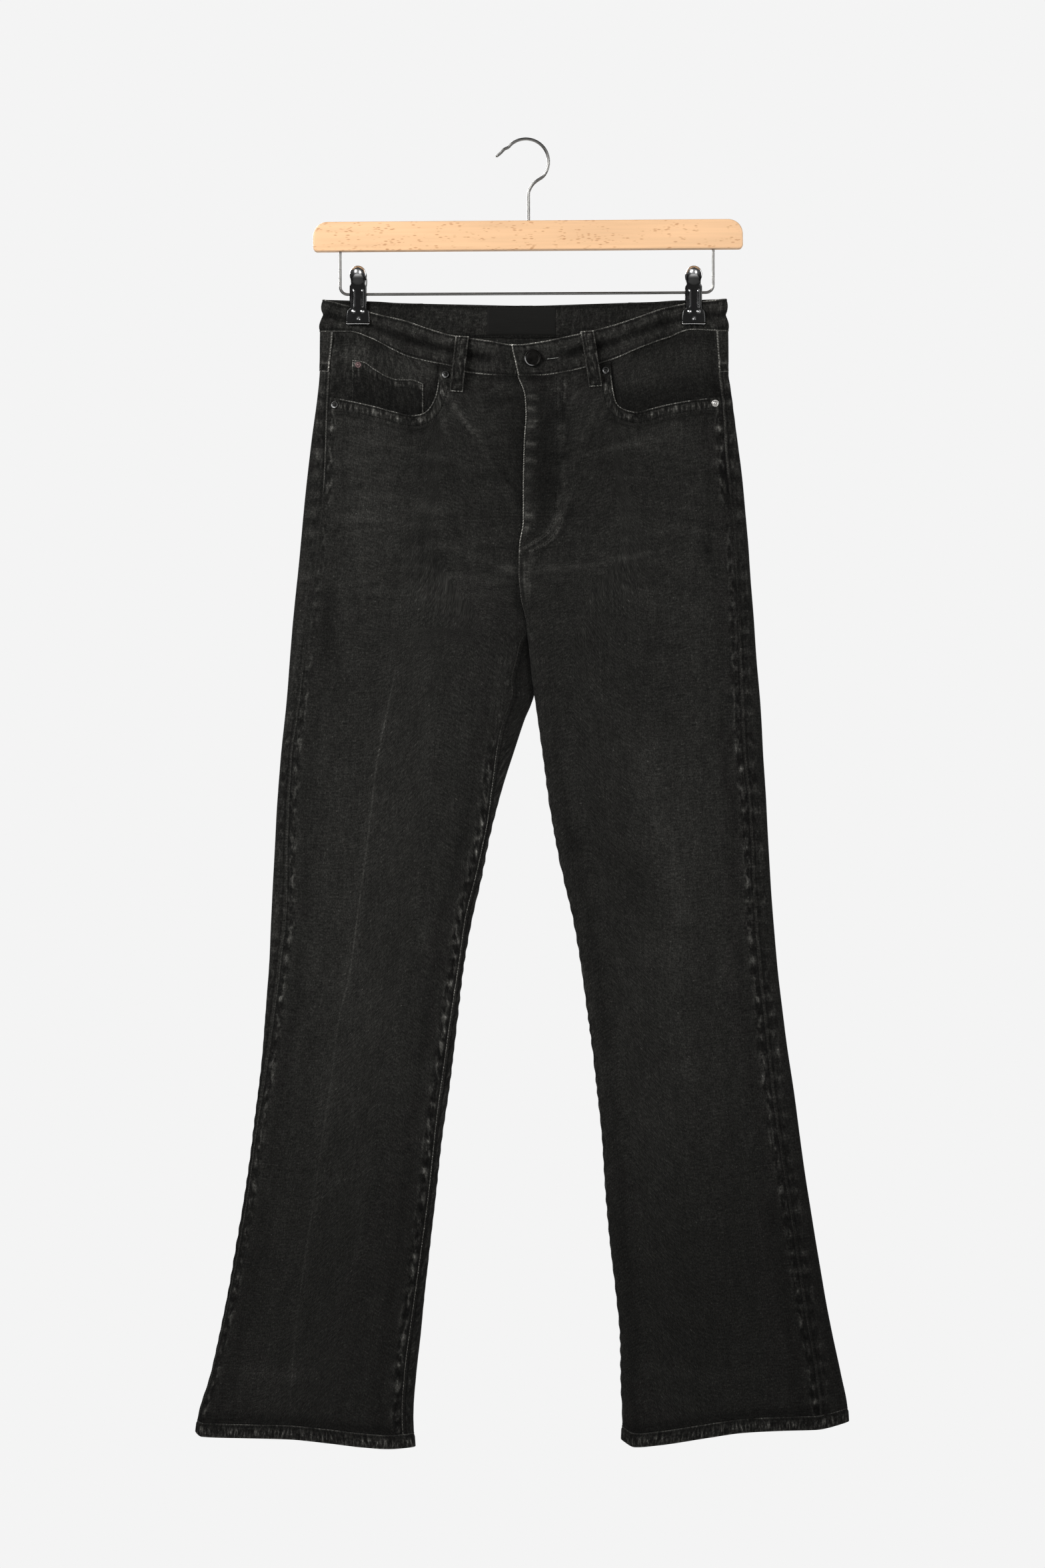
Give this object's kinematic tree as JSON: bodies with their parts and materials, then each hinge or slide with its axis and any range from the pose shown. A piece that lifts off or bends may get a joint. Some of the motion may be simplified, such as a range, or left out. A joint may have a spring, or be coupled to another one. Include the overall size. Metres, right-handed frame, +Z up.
{
  "type": "bootcut jeans on a clip hanger",
  "caption": "Washed black denim bootcut jeans hung by the waistband from a wooden bar hanger with metal clips.",
  "frame": {"origin": "the top of the inside of the hanger's hook, where it rests on a rail", "axes": "+X to the right of the front view, +Y from the front to the back, +Z up"},
  "size_m": [0.648, 0.0527, 1.2965],
  "materials": {
    "denim": "washed black twill, soft and matt",
    "label": "plain black satin weave",
    "dark_metal": "glossy black metal",
    "copper": "worn pink copper",
    "beech": "lacquered beech with short dark flecks",
    "chrome": "polished"
  },
  "bodies": {
    "root": {"front_left": "denim", "front_knee_left": "denim", "front_calf_left": "denim", "front_right": "denim", "front_knee_right": "denim", "front_calf_right": "denim", "back_left": "denim", "back_knee_left": "denim", "back_calf_left": "denim", "back_right": "denim", "back_knee_right": "denim", "back_calf_right": "denim", "yoke_left": "denim", "yoke_right": "denim", "waistband": "denim", "hem_left": "denim", "hem_right": "denim", "back_pocket_left": "denim", "back_pocket_right": "denim", "belt_loop_front_left": "denim", "belt_loop_front_right": "denim", "belt_loop_back_left": "denim", "belt_loop_back_centre": "denim", "belt_loop_back_right": "denim", "coin_pocket": "denim", "pocket_facing_left": "denim", "pocket_facing_right": "denim", "fly_shield": "denim", "waist_label": "label", "zip": "dark_metal", "button": "dark_metal", "clip_left_front": "dark_metal", "clip_left_back": "dark_metal", "clip_right_front": "dark_metal", "clip_right_back": "dark_metal", "rivet_left_side": "copper", "rivet_left_waist": "copper", "rivet_right_waist": "copper", "rivet_right_side": "copper", "rivet_coin": "copper", "hanger_bar": "beech", "hanger_hook": "chrome", "hanger_wire": "chrome", "clip_left_spring": "chrome", "clip_right_spring": "chrome"}
  },
  "joints": []
}
